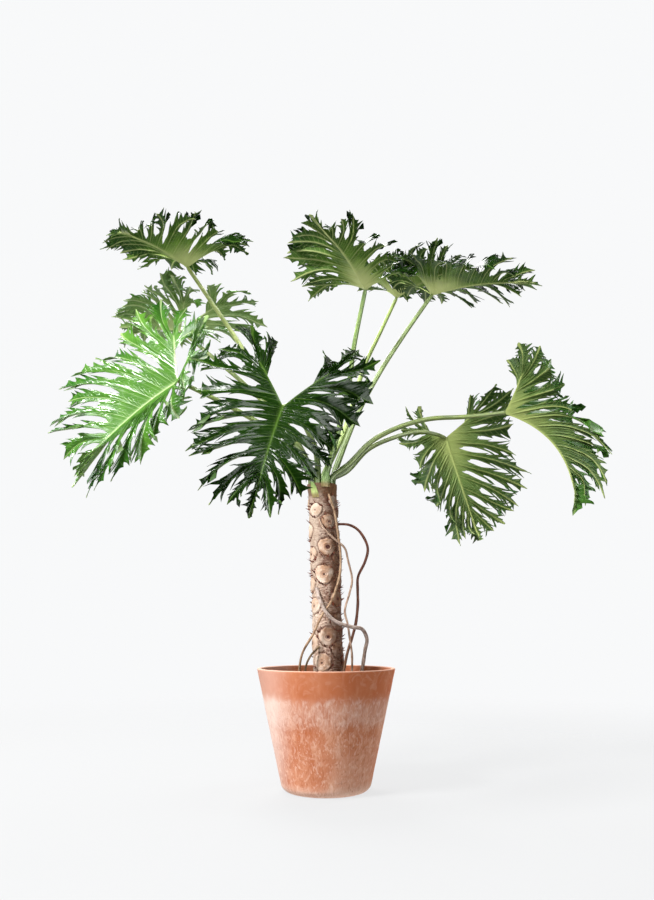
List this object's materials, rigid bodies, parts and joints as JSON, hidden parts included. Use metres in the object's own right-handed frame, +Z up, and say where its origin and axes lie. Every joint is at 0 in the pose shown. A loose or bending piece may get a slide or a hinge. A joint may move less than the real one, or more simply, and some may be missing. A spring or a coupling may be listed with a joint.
{
  "type": "potted split-leaf philodendron",
  "caption": "Split-leaf philodendron with deeply lobed leaves on long stalks, a bare scarred trunk with hanging aerial roots, standing in a tapered terracotta pot filled with soil.",
  "frame": {"origin": "middle of the flat face under the pot that the plant stands on", "axes": "+Z up along the pot's axis, -Y towards the side the plant is seen from, +X to the right of that side"},
  "size_m": [1.2552, 0.8406, 1.3278],
  "materials": {
    "terracotta": "matte",
    "soil": "matte",
    "bark": "matte",
    "root": "matte",
    "sheath": "satin",
    "stalk": "satin",
    "blade": "satin"
  },
  "bodies": {
    "root": {"pot": "terracotta", "soil": "soil", "trunk": "bark", "aerial_root_1": "root", "aerial_root_2": "root", "aerial_root_3": "root", "aerial_root_4": "root", "aerial_root_5": "root", "crown_sheath_1": "sheath", "crown_sheath_2": "sheath", "stalk_1": "stalk", "stalk_2": "stalk", "stalk_3": "stalk", "stalk_4": "stalk", "stalk_5": "stalk", "stalk_6": "stalk", "stalk_7": "stalk", "stalk_8": "stalk", "stalk_9": "stalk", "blade_1": "blade", "blade_2": "blade", "blade_3": "blade", "blade_4": "blade", "blade_5": "blade", "blade_6": "blade", "blade_7": "blade", "blade_8": "blade", "blade_9": "blade"}
  },
  "joints": []
}
